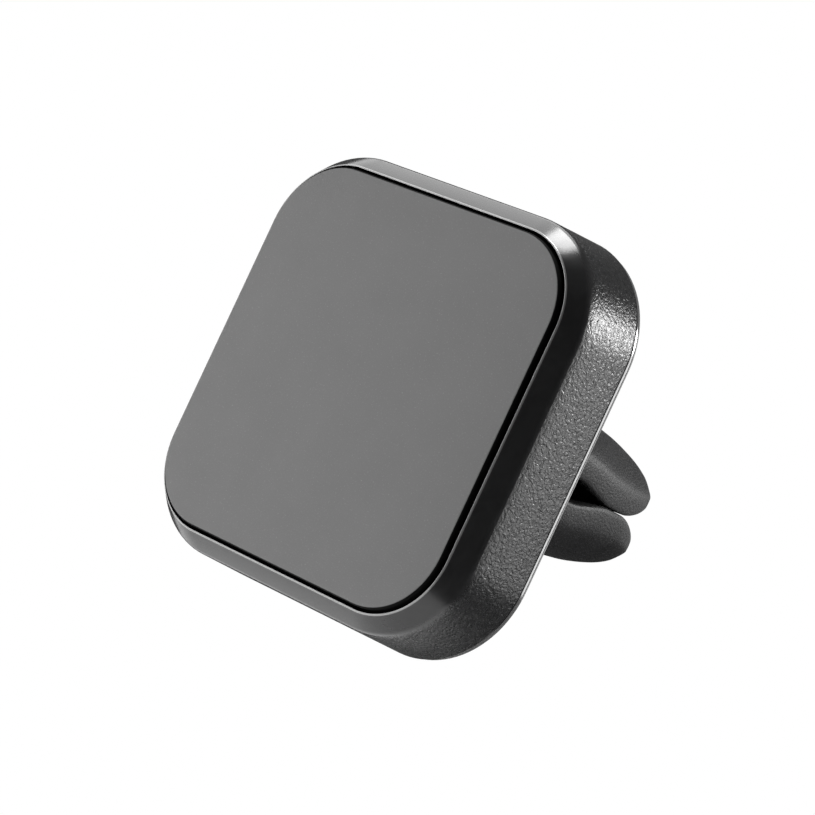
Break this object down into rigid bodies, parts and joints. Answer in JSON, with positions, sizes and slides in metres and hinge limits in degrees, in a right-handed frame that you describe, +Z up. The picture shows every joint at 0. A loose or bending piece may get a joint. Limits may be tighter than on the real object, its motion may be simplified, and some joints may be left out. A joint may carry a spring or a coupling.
{
  "type": "phone mount",
  "caption": "Square magnetic phone holder with a rubber face on a lockable ball joint, carried by a split rubber-covered clip that grips an air vent blade.",
  "frame": {"origin": "centre of the rubber face that the phone rests on", "axes": "-Y is the way the phone face looks, +Y runs through the ball joint and along the clip's fingers into the vent, +Z is up, +X is to the right as seen by someone facing the phone"},
  "size_m": [0.0428, 0.044, 0.0428],
  "materials": {
    "pad_rubber": "matt soft-touch rubber, very fine even grain",
    "tape": "thin double-sided tape",
    "housing_plastic": "black moulded plastic, polished chamfer and spark-eroded side wall",
    "screw_steel": "zinc-plated steel",
    "tray_plastic": "plain black moulding",
    "plated_steel": "stamped and zinc-plated steel",
    "nickel_plate": "nickel-plated sintered magnet",
    "cover_plastic": "black, polished rim and satin back",
    "stud_steel": "turned steel with a fine lathe finish",
    "ball_plastic": "smooth black acetal",
    "nylon": "natural nylon",
    "nut_plastic": "black fluted moulding with a fine texture",
    "clip_plastic": "black glass-filled nylon",
    "boot_rubber": "matt black moulded rubber"
  },
  "bodies": {
    "clip": {"clip_core": "clip_plastic"},
    "nut": {"lock_nut": "nut_plastic"},
    "friction_seat": {"friction_cup": "nylon"},
    "ball_joint": {"ball": "ball_plastic"},
    "head": {"front_pad": "pad_rubber", "pad_adhesive": "tape", "front_housing": "housing_plastic", "housing_screws": "screw_steel", "magnet_tray": "tray_plastic", "yoke_plate": "plated_steel", "rear_cover": "cover_plastic", "ball_stud": "stud_steel", "magnet_upper_right": "nickel_plate", "magnet_upper_left": "nickel_plate", "magnet_lower_right": "nickel_plate", "magnet_lower_left": "nickel_plate"},
    "finger_upper_right": {"finger_core_upper_right": "clip_plastic", "finger_boot_upper_right": "boot_rubber"},
    "finger_upper_left": {"finger_core_upper_left": "clip_plastic", "finger_boot_upper_left": "boot_rubber"},
    "finger_lower_right": {"finger_core_lower_right": "clip_plastic", "finger_boot_lower_right": "boot_rubber"},
    "finger_lower_left": {"finger_core_lower_left": "clip_plastic", "finger_boot_lower_left": "boot_rubber"}
  },
  "joints": [
    {"name": "head_tilt", "type": "hinge", "parent": "clip", "child": "friction_seat", "pos_m": [0, 0.018, 0], "axis": [1, 0, 0], "range_deg": [-20, 20]},
    {"name": "head_pan", "type": "hinge", "parent": "friction_seat", "child": "ball_joint", "pos_m": [0, 0.018, 0], "axis": [0, 0, 1], "range_deg": [-20, 20]},
    {"name": "head_spin", "type": "hinge", "parent": "ball_joint", "child": "head", "pos_m": [0, 0.018, 0], "axis": [0, 1, 0], "continuous": true},
    {"name": "nut_turn", "type": "hinge", "parent": "clip", "child": "nut", "pos_m": [0, 0.018, 0], "axis": [0, 1, 0], "range_deg": [0, 180]},
    {"name": "finger_flex_upper_right", "type": "hinge", "parent": "clip", "child": "finger_upper_right", "pos_m": [0.00347, 0.0252, 0.00347], "axis": [0.7071, 0, -0.7071], "range_deg": [0, 7.5], "stiffness_Nm_per_rad": 1.5},
    {"name": "finger_flex_upper_left", "type": "hinge", "parent": "clip", "child": "finger_upper_left", "pos_m": [-0.00347, 0.0252, 0.00347], "axis": [0.7071, 0, 0.7071], "range_deg": [0, 7.5], "stiffness_Nm_per_rad": 1.5},
    {"name": "finger_flex_lower_right", "type": "hinge", "parent": "clip", "child": "finger_lower_right", "pos_m": [0.00347, 0.0252, -0.00347], "axis": [-0.7071, 0, -0.7071], "range_deg": [0, 7.5], "stiffness_Nm_per_rad": 1.5},
    {"name": "finger_flex_lower_left", "type": "hinge", "parent": "clip", "child": "finger_lower_left", "pos_m": [-0.00347, 0.0252, -0.00347], "axis": [-0.7071, 0, 0.7071], "range_deg": [0, 7.5], "stiffness_Nm_per_rad": 1.5}
  ]
}
